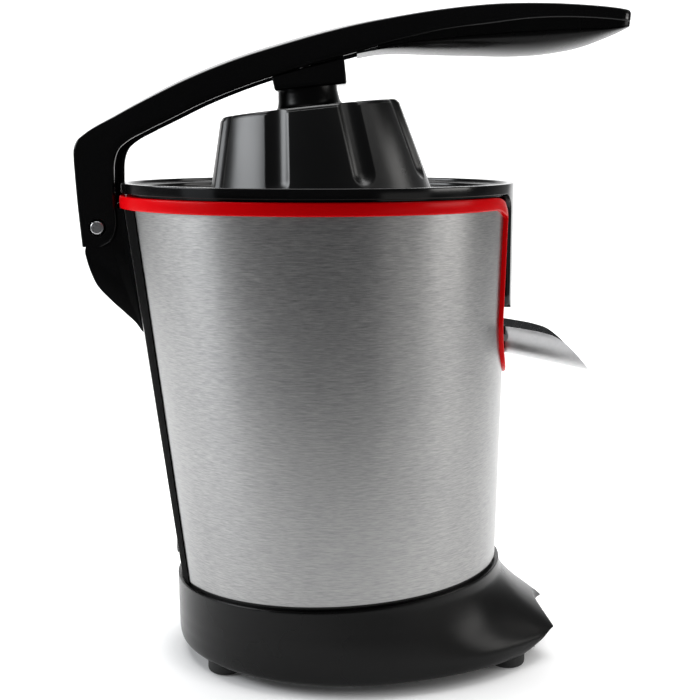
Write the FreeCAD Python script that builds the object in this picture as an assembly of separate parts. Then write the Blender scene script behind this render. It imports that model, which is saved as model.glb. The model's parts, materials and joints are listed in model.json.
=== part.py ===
import FreeCAD, Part
import os, math
from FreeCAD import Vector as V

os.makedirs("parts", exist_ok=True)

# ---------------------------------------------------------------- driving sizes (mm)
# spindle axis is X=0, Y=0 while building; floor is Z=0; +X is the front (spout)
BODY_Z0, BODY_C0, BODY_R0 = 37.0, 9.1, 75.5     # steel body near the base
BODY_Z1, BODY_C1, BODY_R1 = 208.0, -0.3, 89.0   # steel body at the top
SHEET = 0.8              # steel sheet
SEAM_REAR_Z, SEAM_SLOPE = 35.6, 0.047           # slanted joint steel / base
BASE_CX = 12.0           # centre of the base outline
BASE_Z = 6.0             # underside of the base
RIM_R, RIM_Z = 90.8, 220.6
TRIM_Z0, TRIM_Z1 = 210.0, 215.7
TRIM_R = 91.0
NOTCH_W, NOTCH_Z = 25.5, 134.6                  # front cut-out, half width and bottom
PIN_X, PIN_Z = -100.5, 200.9                    # arm hinge
EAR_IN, EAR_OUT = 12.9, 16.0
TILT = 6.1               # arm and dome lean in the drawn pose, deg
DOME_TOP = (-3.65, 254.05)
DOME_RT, DOME_RB, DOME_H, DOME_WALL = 41.1, 53.4, 46.0, 2.6
FLUTES = 8
STEM_R = 13.6
SPOUT_W = 17.0
SPOUT_PX, SPOUT_PZ = 85.5, 151.0                # spout pivot
SPIN_DROP = 3.0
MODULE, PRESS = 1.0, 25.0
T_OUT, T_IDP, T_IDG, T_PIN = 60, 15, 48, 12
IDL = (24.40, 28.478)
MOT = (34.0, 0.0)
Z_GPLATE0, Z_GPLATE1 = 96.0, 99.0
Z_DECK0, Z_DECK1 = 130.0, 133.0

UP = V(0, 0, 1)
nodes = {}


def cyl(r, z0, z1, x=0.0, y=0.0):
    return Part.makeCylinder(r, z1 - z0, V(x, y, z0), UP)


def ycyl(r, y0, y1, x, z):
    return Part.makeCylinder(r, y1 - y0, V(x, y0, z), V(0, 1, 0))


def xcyl(r, x0, x1, y, z):
    return Part.makeCylinder(r, x1 - x0, V(x0, y, z), V(1, 0, 0))


def ring(ro, ri, z0, z1, x=0.0, y=0.0):
    return cyl(ro, z0, z1, x, y).cut(cyl(ri, z0 - 1, z1 + 1, x, y))


def box(x0, x1, y0, y1, z0, z1):
    return Part.makeBox(x1 - x0, y1 - y0, z1 - z0, V(x0, y0, z0))


def prism(pts, a, b, plane):
    """closed polygon swept between a and b along the missing axis"""
    if plane == "xz":
        vs = [V(p[0], a, p[1]) for p in pts]
        d = V(0, b - a, 0)
    elif plane == "yz":
        vs = [V(a, p[0], p[1]) for p in pts]
        d = V(b - a, 0, 0)
    else:
        vs = [V(p[0], p[1], a) for p in pts]
        d = V(0, 0, b - a)
    w = Part.makePolygon(vs + [vs[0]])
    return Part.Face(w).extrude(d)


def spline_prism(pts, a, b, plane):
    """closed smooth outline swept along the missing axis"""
    if plane == "xz":
        vs = [V(p[0], a, p[1]) for p in pts]
        d = V(0, b - a, 0)
    elif plane == "yz":
        vs = [V(a, p[0], p[1]) for p in pts]
        d = V(b - a, 0, 0)
    else:
        vs = [V(p[0], p[1], a) for p in pts]
        d = V(0, 0, b - a)
    c = Part.BSplineCurve()
    c.interpolate(vs, PeriodicFlag=True)
    return Part.Face(Part.Wire([c.toShape()])).extrude(d)


def body_cr(z):
    k = (z - BODY_Z0) / (BODY_Z1 - BODY_Z0)
    return BODY_C0 + k * (BODY_C1 - BODY_C0), BODY_R0 + k * (BODY_R1 - BODY_R0)


def circle_wire(x, r, z):
    return Part.Wire([Part.Circle(V(x, 0, z), UP, r).toShape()])


def obl(off, z0, z1):
    c0, r0 = body_cr(z0)
    c1, r1 = body_cr(z1)
    return Part.makeLoft([circle_wire(c0, r0 + off, z0), circle_wire(c1, r1 + off, z1)], True, True)


def below_seam(dz):
    za = SEAM_REAR_Z + dz + SEAM_SLOPE * (-140 + 66.5)
    zb = SEAM_REAR_Z + dz + SEAM_SLOPE * (170 + 66.5)
    return prism([(-140, -60), (170, -60), (170, zb), (-140, za)], -120, 120, "xz")


def rear_sector(deg, z0=-10, z1=260):
    t = math.tan(math.radians(deg))
    return prism([(9.0, 0), (-160, -169 * t), (-160, 169 * t)], z0, z1, "xy")


def u_shape(hw, zbot, ztop, flare, x0, x1):
    """front cut-out outline: straight sides, round bottom, corners opening at the top"""
    zc = zbot + hw
    edges = []
    a0 = V(x0, -hw, zc)
    a1 = V(x0, hw, zc)
    if flare > 0:
        zf = ztop - flare
        s = flare * (1 - math.sqrt(0.5))
        p = [V(x0, -hw - flare, ztop), V(x0, -hw, zf), a0, a1, V(x0, hw, zf), V(x0, hw + flare, ztop)]
        edges.append(Part.Arc(p[0], V(x0, -hw - s, ztop - s), p[1]).toShape())
        edges.append(Part.makeLine(p[1], p[2]))
        edges.append(Part.Arc(a0, V(x0, 0, zbot), a1).toShape())
        edges.append(Part.makeLine(p[3], p[4]))
        edges.append(Part.Arc(p[4], V(x0, hw + s, ztop - s), p[5]).toShape())
        q0, q1 = V(x0, hw + flare, ztop + 30), V(x0, -hw - flare, ztop + 30)
        edges += [Part.makeLine(p[5], q0), Part.makeLine(q0, q1), Part.makeLine(q1, p[0])]
    else:
        b0, b1 = V(x0, -hw, ztop), V(x0, hw, ztop)
        edges = [Part.makeLine(b0, a0), Part.Arc(a0, V(x0, 0, zbot), a1).toShape(),
                 Part.makeLine(a1, b1), Part.makeLine(b1, b0)]
    return Part.Face(Part.Wire(edges)).extrude(V(x1 - x0, 0, 0))


def soften(shape, r, pick):
    es = [e for e in shape.Edges if pick(e)]
    for rr in (r, r * 0.6, r * 0.3):
        try:
            s = shape.makeFillet(rr, es)
            if s.isValid() and s.Volume > 0.5 * shape.Volume:
                return s
        except Exception:
            pass
    return shape


def put(name, *shapes):
    out = []
    for s in shapes:
        out += [x for x in s.Solids]
    nodes[name] = Part.makeCompound(out) if len(out) > 1 else out[0]


def screw(x, y, z, length, r=1.6, head=3.0, hh=1.8, d=1):
    """pan screw, head under (d=1: shank goes up)"""
    if d > 0:
        s = cyl(head, z, z + hh, x, y).fuse(cyl(r, z + hh, z + hh + length, x, y))
        return s.cut(box(x - 0.5, x + 0.5, y - 2.2, y + 2.2, z - 1, z + 0.8)).removeSplitter()
    s = cyl(head, z - hh, z, x, y).fuse(cyl(r, z - hh - length, z - hh, x, y))
    return s.cut(box(x - 0.5, x + 0.5, y - 2.2, y + 2.2, z - 0.8, z + 1)).removeSplitter()


# ---------------------------------------------------------------- base
OUT = [(0, 104.0), (8, 104.0), (13, 103.0), (18, 99.5), (23, 95.5), (30, 91.5), (37, 88.6), (48, 84.4),
       (60, 80.9), (72, 79.3), (85, 79.0), (120, 79.0), (150, 79.0), (180, 79.0)]


def r_out(a):
    a = abs(a)
    for (a0, r0), (a1, r1) in zip(OUT, OUT[1:]):
        if a0 <= a <= a1:
            k = (a - a0) / (a1 - a0)
            k = k * k * (3 - 2 * k) * 0.35 + k * 0.65
            return r0 + (r1 - r0) * k
    return 79.0


def base_wire(z, k, cx, rtop, off, tilt=False):
    pts = []
    for i in range(72):
        a = -180 + 5.0 * i
        r = rtop + k * (r_out(a) - 79.0) + off
        x = cx + r * math.cos(math.radians(a))
        y = r * math.sin(math.radians(a))
        zz = SEAM_REAR_Z - 0.8 + SEAM_SLOPE * (x + 66.5) + z if tilt else z
        pts.append(V(x, y, zz))
    c = Part.BSplineCurve()
    c.interpolate(pts, PeriodicFlag=True)
    return Part.Wire([c.toShape()])


def base_loft(off, zlo, dtop):
    ws = [base_wire(zlo, 1.0, BASE_CX, 78.6, off), base_wire(12.0, 0.98, BASE_CX, 79.4, off),
          base_wire(20.0, 0.62, BASE_CX - 0.4, 79.2, off), base_wire(29.0, 0.24, BASE_CX - 1.4, 78.6, off),
          base_wire(dtop, 0.0, BASE_CX - 2.6, 77.6, off, True)]
    return Part.makeLoft(ws, True, False)


GLASS_X, GLASS_R = 152.5, 46.0
bite = cyl(GLASS_R, -5, 60, GLASS_X, 0)
outer = base_loft(0.0, BASE_Z, 0.0).cut(bite)
inner = base_loft(-2.8, BASE_Z - 0.4, -2.6).cut(cyl(GLASS_R + 2.8, -5, 70, GLASS_X, 0))
base = outer.cut(inner)
opening = obl(-6.0, 20, 60)
base = base.cut(opening)
put("base_shell", base)

plate = Part.makeLoft([base_wire(BASE_Z + 0.3, 1.0, BASE_CX, 78.6, -3.4), base_wire(BASE_Z + 2.8, 1.0, BASE_CX, 78.9, -3.4)],
                      True, False).cut(cyl(GLASS_R + 3.4, -5, 60, GLASS_X, 0))
FEET = [(-42.0, 44.0), (-42.0, -44.0), (88.0, 36.0), (88.0, -36.0)]
SCREWS = [(-52.0, 0.0), (14.0, 66.0), (14.0, -66.0), (86.0, 0.0)]
for k in range(-4, 5):
    plate = plate.cut(box(18 + k * 6 - 1.1, 18 + k * 6 + 1.1, -22, 22, 0, 20))
for (x, y) in FEET:
    plate = plate.cut(cyl(3.1, 0, 20, x, y))
posts = []
for (x, y) in SCREWS:
    plate = plate.cut(cyl(1.75, 0, 20, x, y)).cut(cyl(3.2, 0, BASE_Z + 1.4, x, y))
    zt = 30.0 if x < 60 else 20.0
    posts.append(ring(3.6, 1.65, BASE_Z + 2.85, zt, x, y))
put("bottom_plate", plate)
put("screw_posts", *posts)
put("base_screws", *[screw(x, y, BASE_Z - 0.3, 9.0, 1.6, 3.0, 1.6) for (x, y) in SCREWS])
foot = []
for (x, y) in FEET:
    f = cyl(8.0, 0.0, BASE_Z - 0.05, x, y)
    f = soften(f, 2.4, lambda e: abs(e.BoundBox.ZMax) < 1e-6)
    f = f.fuse(cyl(5.4, BASE_Z - 1.0, BASE_Z + 0.25, x, y)).fuse(cyl(3.0, BASE_Z, BASE_Z + 4.0, x, y)).removeSplitter()
    foot.append(f)
put("rubber_feet", *foot)

# ring between steel and base
lip = obl(-0.4, 25, 60).cut(obl(-3.2, 24, 61)).cut(below_seam(-0.75))
lip = lip.common(below_seam(2.4))
put("groove_ring", lip)

# ---------------------------------------------------------------- steel body
notch_steel = u_shape(NOTCH_W + 4.2, NOTCH_Z - 4.2, 240, 0, 30, 130)
wrap = obl(0, 25, TRIM_Z0 - 0.05).cut(obl(-SHEET, 24, 230)).cut(below_seam(2.45)).cut(notch_steel)
put("body_wrap", wrap.cut(rear_sector(25.4)))
strip = obl(0.55, 25, TRIM_Z0 - 0.05).cut(obl(-SHEET, 24, 230)).cut(below_seam(2.45))
put("seam_strips", strip.common(rear_sector(25.35)).cut(rear_sector(21.55)))
rpan = wrap.common(rear_sector(21.5))
gland_z = 47.5
gc, gr = body_cr(gland_z)
gx = gc - gr
rpan = rpan.cut(xcyl(5.1, gx - 20, gx + 20, 0, gland_z))

housing = obl(-SHEET - 0.05, 41, TRIM_Z0 - 0.05).cut(obl(-SHEET - 2.4, 40, 230)).cut(below_seam(2.5))
housing = housing.cut(u_shape(NOTCH_W + 1.2, NOTCH_Z - 1.2, 240, 0, 30, 130))
housing = housing.cut(xcyl(5.1, gx - 20, gx + 20, 0, gland_z))
gland = xcyl(5.0, gx - 0.7, gx + 6.0, 0, gland_z)
gland = gland.fuse(xcyl(6.6, gx + 4.4, gx + 6.2, 0, gland_z)).cut(xcyl(3.4, gx - 10, gx + 20, 0, gland_z)).removeSplitter()
put("cord_gland", gland)

# ---------------------------------------------------------------- hinge bracket and pin
brk_pts = [(-106.4, 194.2), (-107.2, 190.6), (-106.3, 185.6), (-104.9, 180.2), (-102.2, 174.2), (-96.3, 167.5), (-88.1, 159.9), (-84.0, 156.0),
           (-80.9, 151.7), (-70.0, 151.7), (-70.0, 206.0), (-93.0, 206.0), (-95.0, 207.2)]
brk = prism(brk_pts, -12.0, 12.0, "xz")
brk = brk.fuse(ycyl(8.4, -12.0, 12.0, PIN_X, PIN_Z)).removeSplitter()
brk = brk.cut(obl(0.05, 100, 230)).cut(ycyl(2.45, -20, 20, PIN_X, PIN_Z))
put("hinge_bracket", brk)
bs = []
for z in (172.0, 190.0):
    c, r = body_cr(z)
    bs.append(xcyl(3.2, c - r + 3.3, c - r + 5.4, 0, z).fuse(xcyl(1.7, c - r - 7, c - r + 3.35, 0, z)).removeSplitter())
    nodes["hinge_bracket"] = nodes["hinge_bracket"].cut(xcyl(1.75, c - r - 8, c - r + 2, 0, z))
    rpan = rpan.cut(xcyl(1.75, c - r - 8, c - r + 4, 0, z))
    housing = housing.cut(xcyl(1.75, c - r - 8, c - r + 4, 0, z)).cut(xcyl(3.3, c - r + 3.25, c - r + 9, 0, z))
put("bracket_screws", *bs)
put("rear_panel", rpan)
pin = ycyl(2.4, -16.4, 16.4, PIN_X, PIN_Z).fuse(ycyl(3.0, -17.4, -16.25, PIN_X, PIN_Z)).fuse(ycyl(3.0, 16.25, 17.4, PIN_X, PIN_Z))
pin = soften(pin.removeSplitter(), 0.6, lambda e: abs(abs(e.CenterOfMass.y) - 17.4) < 0.01)
put("hinge_pin", pin)
put("hinge_washers", ycyl(6.0, 12.05, 12.7, PIN_X, PIN_Z).cut(ycyl(2.5, 0, 20, PIN_X, PIN_Z)),
    ycyl(6.0, -12.7, -12.05, PIN_X, PIN_Z).cut(ycyl(2.5, -20, 0, PIN_X, PIN_Z)))

# ---------------------------------------------------------------- red trim
tring = ring(TRIM_R, 86.2, TRIM_Z0, TRIM_Z1)
tring = soften(tring, 1.0, lambda e: e.BoundBox.XMax > 90.0 and len(e.Vertexes) == 1)
legs = obl(1.4, 100, TRIM_Z0 + 0.02).cut(obl(-0.72, 99, 240)).common(u_shape(NOTCH_W + 4.15, NOTCH_Z - 4.15, 240, 0, 30, 130))
trim = tring.fuse(legs).cut(u_shape(NOTCH_W, NOTCH_Z, TRIM_Z1, 7.0, 30, 130)).removeSplitter()
put("red_trim", trim)

# ---------------------------------------------------------------- juice bowl
prof = [(12.0, 143.5), (74.2, 143.5), (83.6, 214.0), (83.6, 215.8), (88.2, 215.8), (88.2, 216.9), (RIM_R, 216.9),
        (RIM_R, 219.6), (89.9, RIM_Z), (86.4, RIM_Z), (85.3, 219.8), (84.6, 217.4), (82.6, 217.2), (82.2, 214.4), (80.9, 213.9),
        (77.2, 189.0), (75.6, 188.2), (72.0, 146.4), (70.0, 146.0), (13.5, 147.5), (12.2, 150.0), (11.2, 186.5), (8.9, 186.5), (8.9, 143.5)]
w = Part.makePolygon([V(x, 0, z) for x, z in prof] + [V(prof[0][0], 0, prof[0][1])])
bowl = Part.Face(w).revolve(V(0, 0, 0), UP, 360)
apron = ring(RIM_R, RIM_R - 3.0, 150, 217.2).common(u_shape(NOTCH_W - 0.5, 164.6 - 4, TRIM_Z1, 6.6, 60, 130))
apron = apron.cut(box(0, 200, -60, 60, 100, 164.6))
apron = soften(apron, 4.0, lambda e: abs(e.CenterOfMass.z - 164.6) < 0.6 and e.BoundBox.YLength < 0.2)
apron = apron.fuse(ring(88.0, 80.0, 210.0, 217.2).cut(cyl(82.9, 200, 230)).common(box(60, 100, -24, 24, 205, 230)))
outlet = box(66, 82.4, -14.4, 14.4, 142.4, 155.6).cut(box(60, 90, -12.4, 12.4, 144.6, 170))
bowl = bowl.fuse(apron).fuse(outlet.cut(cyl(70.5, 100, 200)))
bowl = bowl.cut(box(66, 90, -12.4, 12.4, 144.6, 154.6)).removeSplitter()
put("juice_bowl", bowl)
put("shaft_seal", ring(8.85, 4.35, 180.5, 184.5).cut(ring(7.2, 5.6, 182.0, 190)))

# strainer resting on the bowl's ledge
sp = [(14.0, 187.6), (70.0, 184.2), (75.0, 189.3), (76.6, 189.3), (76.8, 190.1), (74.6, 190.1), (69.6, 185.1), (14.0, 188.5)]
w = Part.makePolygon([V(x, 0, z) for x, z in sp] + [V(sp[0][0], 0, sp[0][1])])
strainer = Part.Face(w).revolve(V(0, 0, 0), UP, 360)
cuts = []
for i in range(30):
    for (ra, rb) in ((44.0, 54.0), (57.0, 67.0)):
        b = box(ra, rb, -0.9, 0.9, 180, 192)
        b.rotate(V(0, 0, 0), UP, 12.0 * i + (6 if ra > 50 else 0))
        cuts.append(b)
strainer = strainer.cut(Part.makeCompound(cuts))
put("strainer", strainer)

# ---------------------------------------------------------------- spout, its carrier
car = obl(-3.3, 125, 164).cut(obl(-6.0, 124, 165)).common(u_shape(NOTCH_W + 6, NOTCH_Z - 6, 240, 0, 30, 130))
car = car.common(box(50, 130, -60, 60, 120, 163.5))
car = car.cut(box(60, 130, -17.8, 17.8, 139.4, 158.2))
cheek = []
for s in (-1, 1):
    y0, y1 = (18.6, 21.4) if s > 0 else (-21.4, -18.6)
    cheek.append(prism([(79.4, 146), (85.0, 145.0), (88.0, 147.6), (88.0, 154.6), (85.0, 157.2), (79.4, 157)], y0, y1, "xz"))
car = car.fuse(cheek[0]).fuse(cheek[1]).removeSplitter()
car = car.cut(ycyl(1.55, -30, 30, SPOUT_PX, SPOUT_PZ))
put("spout_carrier", car)

def trough(off, x0, x1):
    """half pipe that falls to the front"""
    sl = math.tan(math.radians(9.6))
    def wire(x):
        dz = -(x - 87.0) * sl
        hw, top, bot = SPOUT_W + off, 155.3 + dz + 40, 141.2 + dz - off
        e = [Part.makeLine(V(x, -hw, top), V(x, -hw, bot + 9.5)),
             Part.Arc(V(x, -hw, bot + 9.5), V(x, 0, bot), V(x, hw, bot + 9.5)).toShape(),
             Part.makeLine(V(x, hw, bot + 9.5), V(x, hw, top)), Part.makeLine(V(x, hw, top), V(x, -hw, top))]
        return Part.Wire(e)
    return Part.makeLoft([wire(x0), wire(x1)], True, True)


sp_out = trough(0.0, 83.0, 135).cut(trough(-0.9, 80, 140))
side = [(80, 155.6), (87.2, 155.3), (104, 152.4), (110.5, 150.2), (116.0, 146.0), (121.5, 139.8), (127.2, 132.2), (127.2, 120), (80, 120)]
spout = sp_out.common(prism(side, -40, 40, "xz"))
put("spout", spout)
pv = []
for s in (-1, 1):
    a, b = (17.05, 21.9) if s > 0 else (-21.9, -17.05)
    p = ycyl(1.5, a, b, SPOUT_PX, SPOUT_PZ)
    p = p.fuse(ycyl(2.5, 17.05, 18.2, SPOUT_PX, SPOUT_PZ) if s > 0 else ycyl(2.5, -18.2, -17.05, SPOUT_PX, SPOUT_PZ))
    pv.append(p.removeSplitter())
put("spout_pivots", *pv)

# ---------------------------------------------------------------- deck, gear plate, motor
c, r = body_cr(131.5)
deck = cyl(r - 3.6, Z_DECK0, Z_DECK1, c, 0).cut(cyl(7.0, 100, 150))
deck = deck.cut(box(70, 120, -40, 40, 120, 140))
PIL = [(-34, 30), (-34, -30), (58, 30), (58, -30)]
for (x, y) in PIL:
    deck = deck.cut(cyl(1.7, 100, 150, x, y))
deck = deck.cut(cyl(2.05, 100, 150, IDL[0], IDL[1]))
put("motor_deck", deck)
lug = []
for k in range(4):
    a = math.radians(45 + 90 * k)
    c2, r2 = body_cr(127)
    lug.append(box(r2 - 12, r2 - 4.4, -4, 4, 120, Z_DECK0 - 0.02))
    lug[-1].rotate(V(0, 0, 0), UP, 45 + 90 * k)
    lug[-1].translate(V(c2, 0, 0))
put("deck_ledges", *lug)
put("inner_housing", housing)
gp = box(-44, 68, -40, 44, Z_GPLATE0, Z_GPLATE1)
gp = gp.cut(cyl(7.0, 90, 105)).cut(cyl(6.6, 90, 105, *MOT)).cut(cyl(2.05, 90, 105, *IDL))
MS = [(MOT[0] + sx * 20, sy * 20) for sx in (-1, 1) for sy in (-1, 1)]
for (x, y) in PIL:
    gp = gp.cut(cyl(1.7, 90, 105, x, y))
for (x, y) in MS:
    gp = gp.cut(cyl(1.75, 90, 105, x, y))
put("gear_plate", gp)
put("gear_pillars", *[ring(4.0, 1.7, Z_GPLATE1 + 0.02, Z_DECK0 - 0.02, x, y) for (x, y) in PIL])
put("deck_screws", *[screw(x, y, Z_DECK1 + 1.9, 9.0, 1.6, 3.0, 1.8, -1) for (x, y) in PIL],
    *[screw(x, y, Z_GPLATE0 - 1.9, 9.0, 1.6, 3.0, 1.8, 1) for (x, y) in PIL])
put("spindle_bushes", ring(6.95, 3.96, Z_DECK0 - 1, Z_DECK1 + 4).fuse(ring(9.0, 3.96, Z_DECK1 + 0.02, Z_DECK1 + 2)).removeSplitter(),
    ring(6.95, 4.95, Z_GPLATE0 - 1.0, Z_GPLATE1 + 0.5).fuse(ring(9.0, 4.95, Z_GPLATE1 + 0.02, Z_GPLATE1 + 1.5)).removeSplitter())
put("idler_pin", cyl(2.0, Z_GPLATE0 - 0.5, Z_DECK1 + 0.5, *IDL))

st = box(MOT[0] - 24, MOT[0] + 24, -25, 25, 52, 82)
st = soften(st, 5.0, lambda e: abs(e.BoundBox.ZLength - 30) < 0.1)
st = st.cut(cyl(15.0, 40, 100, *MOT))
for s in (-1, 1):
    st = st.cut(box(MOT[0] - 14, MOT[0] + 14, min(s * 6, s * 18), max(s * 6, s * 18), 40, 100).cut(cyl(16.5, 40, 100, *MOT)))
for (x, y) in MS:
    st = st.cut(cyl(1.75, 40, 100, x, y))
put("motor_stator", st)
coils = []
for s in (-1, 1):
    cb = box(MOT[0] - 13.5, MOT[0] + 13.5, min(s * 7, s * 17.6), max(s * 7, s * 17.6), 46, 88)
    cb = cb.cut(cyl(16.8, 40, 100, *MOT))
    coils.append(cb)
put("field_coils", *coils)
eb = box(MOT[0] - 24, MOT[0] + 24, -9, 9, 40.0, 43.0).cut(cyl(6.6, 30, 60, *MOT))
for sx in (-1, 1):
    for sy in (-1, 1):
        eb = eb.fuse(cyl(4.0, 40, 43, MOT[0] + sx * 20, sy * 20)).fuse(box(MOT[0] + sx * 20 - 3, MOT[0] + sx * 20 + 3, min(sy * 8, sy * 20), max(sy * 8, sy * 20), 40, 43))
for (x, y) in MS:
    eb = eb.cut(cyl(1.75, 30, 60, x, y))
put("motor_end_bracket", eb.removeSplitter())
put("motor_spacers", *[ring(3.4, 1.75, 43.02, 51.98, x, y) for (x, y) in MS], *[ring(3.4, 1.75, 82.02, 95.98, x, y) for (x, y) in MS])
put("motor_bearings", ring(6.5, 3.05, 39.5, 44.5, *MOT), ring(6.5, 3.05, 95.0, 99.5, *MOT))
put("motor_screws", *[screw(x, y, 38.1, 61.0, 1.6, 3.0, 1.85) for (x, y) in MS])

# guide for the spring loaded spindle, switch under it
gt = ring(9.6, 8.22, 46.0, Z_GPLATE0 - 0.02).fuse(ring(9.6, 3.0, 44.0, 46.2)).removeSplitter()
put("spring_guide", gt)
msw = box(-8, 8, -5, 5, 24.0, 40.0).cut(cyl(2.07, 30.0, 50))
put("micro_switch", msw)
swb = box(-13.2, -11.2, -6, 6, 22, 60).fuse(box(-13.2, 8.0, -6, 6, 21.9, 23.95)).fuse(box(-13.2, -9.65, -6, 6, 52, 60).cut(cyl(9.65, 40, 70))).removeSplitter()
put("switch_bracket", swb)
put("switch_plunger", cyl(2.0, 34.2, 43.3).cut(cyl(0.6, 34, 36)))

# ---------------------------------------------------------------- spindle
hexp = [(4.6 * math.cos(math.radians(60 * i)), 4.6 * math.sin(math.radians(60 * i))) for i in range(6)]
shaft = cyl(3.9, 68.0, 222.0).fuse(prism(hexp, 90.0, 128.0, "xy")).removeSplitter()
shaft = shaft.cut(ring(8, 3.0, 80.2, 81.2))
shaft = shaft.cut(ring(8, 3.55, 205.0, 225.0).fuse(cyl(8, 216, 225))).removeSplitter()
put("drive_shaft", shaft)
put("shaft_clip", ring(6.2, 3.05, 80.25, 81.15).cut(box(0, 10, -1.6, 1.6, 70, 90)))
cup = cyl(8.15, 64.0, 80.0).cut(cyl(3.96, 67.95, 90)).fuse(cyl(2.0, 43.6, 64.2)).removeSplitter()
put("thrust_cup", cup)
helix = Part.makeHelix(3.2, 15.2, 5.4)
helix.translate(V(0, 0, 47.5))
hw = Part.Wire(helix.Edges)
p0 = helix.Edges[0].valueAt(helix.Edges[0].FirstParameter)
t0 = helix.Edges[0].tangentAt(helix.Edges[0].FirstParameter)
sec = Part.Wire([Part.Circle(p0, t0, 0.8).toShape()])
try:
    spring = hw.makePipeShell([sec], True, True)
    if not (spring.isValid() and len(spring.Solids) == 1):
        raise ValueError
except Exception:
    spring = Part.makeCompound([Part.makeTorus(5.4, 0.8, V(0, 0, 48 + 3.0 * i)) for i in range(6)])
put("return_spring", spring)

# reamer
rp = [(4.2, 191.5), (33.0, 191.5), (36.0, 192.3), (36.0, 194.6), (33.4, 195.4), (31.0, 199.0), (27.0, 207.0), (21.0, 217.0), (13.0, 227.0),
      (6.0, 233.2), (2.4, 235.6), (0.0, 236.2), (0.0, 233.4), (8.0, 228.0), (24.5, 207.0), (30.0, 195.5), (30.0, 193.5), (4.2, 193.5)]
w = Part.makePolygon([V(x, 0, z) for x, z in rp] + [V(rp[0][0], 0, rp[0][1])])
ream = Part.Face(w).revolve(V(0, 0, 0), UP, 360)
ribs = []
for i in range(10):
    rb = prism([(4.0, 230.0), (29.0, 199.5), (34.6, 195.0), (33.2, 201.0), (28.6, 209.5), (21.6, 220.0), (13.0, 230.0), (4.0, 236.4)], -1.1, 1.1, "xz")
    rb.rotate(V(0, 0, 0), UP, 36.0 * i)
    ribs.append(rb)
ream = ream.fuse(ribs)
hub = cyl(9.0, 191.5, 218.0)
ream = ream.fuse(hub).cut(cyl(3.95, 180, 205.1)).cut(cyl(3.6, 180, 216.1)).removeSplitter()
put("reamer_cone", ream)


# ---------------------------------------------------------------- gears
def gear(teeth, z0, z1, x, y, phase, lash=0.16, add=0.92, ded=1.22):
    m, pa = MODULE, math.radians(PRESS)
    rp_, ra, rr = m * teeth / 2.0, m * teeth / 2.0 + add * m, m * teeth / 2.0 - ded * m
    rb = rp_ * math.cos(pa)
    inv = lambda t: math.tan(t) - t
    half = math.pi / (2 * teeth) - lash / (2 * rp_)
    flank = []
    r0 = max(rb, rr)
    for i in range(6):
        rr_ = r0 + (ra - r0) * i / 5.0
        t = math.acos(min(1.0, rb / rr_))
        flank.append((rr_, half + inv(pa) - inv(t)))
    pts = []
    for k in range(teeth):
        a = 2 * math.pi * k / teeth + math.radians(phase)
        lo = flank[0][1]
        if rb > rr:
            pts.append((rr, a - lo))
        for (q, d) in flank:
            pts.append((q, a - d))
        for (q, d) in reversed(flank):
            pts.append((q, a + d))
        if rb > rr:
            pts.append((rr, a + lo))
    poly = [(x + q * math.cos(a), y + q * math.sin(a)) for q, a in pts]
    return prism(poly, z0, z1, "xy")


a_si = math.degrees(math.atan2(IDL[1], IDL[0]))
a_im = math.degrees(math.atan2(MOT[1] - IDL[1], MOT[0] - IDL[0]))
og = gear(T_OUT, 112.5, 119.0, 0, 0, a_si)
hexg = [(4.8 * math.cos(math.radians(60 * i)), 4.8 * math.sin(math.radians(60 * i))) for i in range(6)]
og = og.fuse(cyl(9.0, 101.0, 128.5)).cut(prism(hexg, 90, 140, "xy")).removeSplitter()
for k in range(6):
    og = og.cut(cyl(4.6, 110, 122, 18.5 * math.cos(math.radians(60 * k)), 18.5 * math.sin(math.radians(60 * k))))
put("output_gear", og)
ig = gear(T_IDG, 103.0, 108.9, IDL[0], IDL[1], a_im)
hexi = [(IDL[0] + 5.0 * math.cos(math.radians(60 * i)), IDL[1] + 5.0 * math.sin(math.radians(60 * i))) for i in range(6)]
ig = ig.cut(prism(hexi, 100, 112, "xy"))
put("idler_gear", ig)
ip = gear(T_IDP, 109.0, 122.0, IDL[0], IDL[1], a_si + 180 + 180.0 / T_IDP)
hexi2 = [(IDL[0] + 4.95 * math.cos(math.radians(60 * i)), IDL[1] + 4.95 * math.sin(math.radians(60 * i))) for i in range(6)]
ip = ip.fuse(prism(hexi2, 100.0, 109.0, "xy")).fuse(cyl(4.0, 122.0, 128.5, *IDL)).cut(cyl(2.06, 90, 140, *IDL)).removeSplitter()
put("idler_pinion", ip)
mp = gear(T_PIN, 102.0, 110.2, MOT[0], MOT[1], a_im + 180 + 180.0 / T_PIN)
mp = mp.cut(cyl(3.0, 90, 120, *MOT))
put("motor_pinion", mp)
put("rotor_shaft", cyl(2.98, 38.0, 110.6, *MOT))
rc = cyl(14.4, 53, 81, *MOT).cut(cyl(3.0, 40, 100, *MOT))
for k in range(8):
    a = math.radians(45 * k + 22.5)
    rc = rc.cut(cyl(1.8, 40, 100, MOT[0] + 12.2 * math.cos(a), MOT[1] + 12.2 * math.sin(a)))
put("rotor_core", rc)
fan = ring(6.0, 3.0, 89.0, 94.0, *MOT)
for k in range(8):
    bl = box(5.6, 14.0, -0.7, 0.7, 89.4, 93.6)
    bl.rotate(V(0, 0, 0), V(1, 0, 0), 0)
    bl.rotate(V(0, 0, 0), UP, 45 * k)
    bl.translate(V(MOT[0], 0, 0))
    fan = fan.fuse(bl)
fan = fan.fuse(ring(14.0, 3.0, 88.8, 89.6, *MOT)).removeSplitter()
put("cooling_fan", fan)

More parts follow.
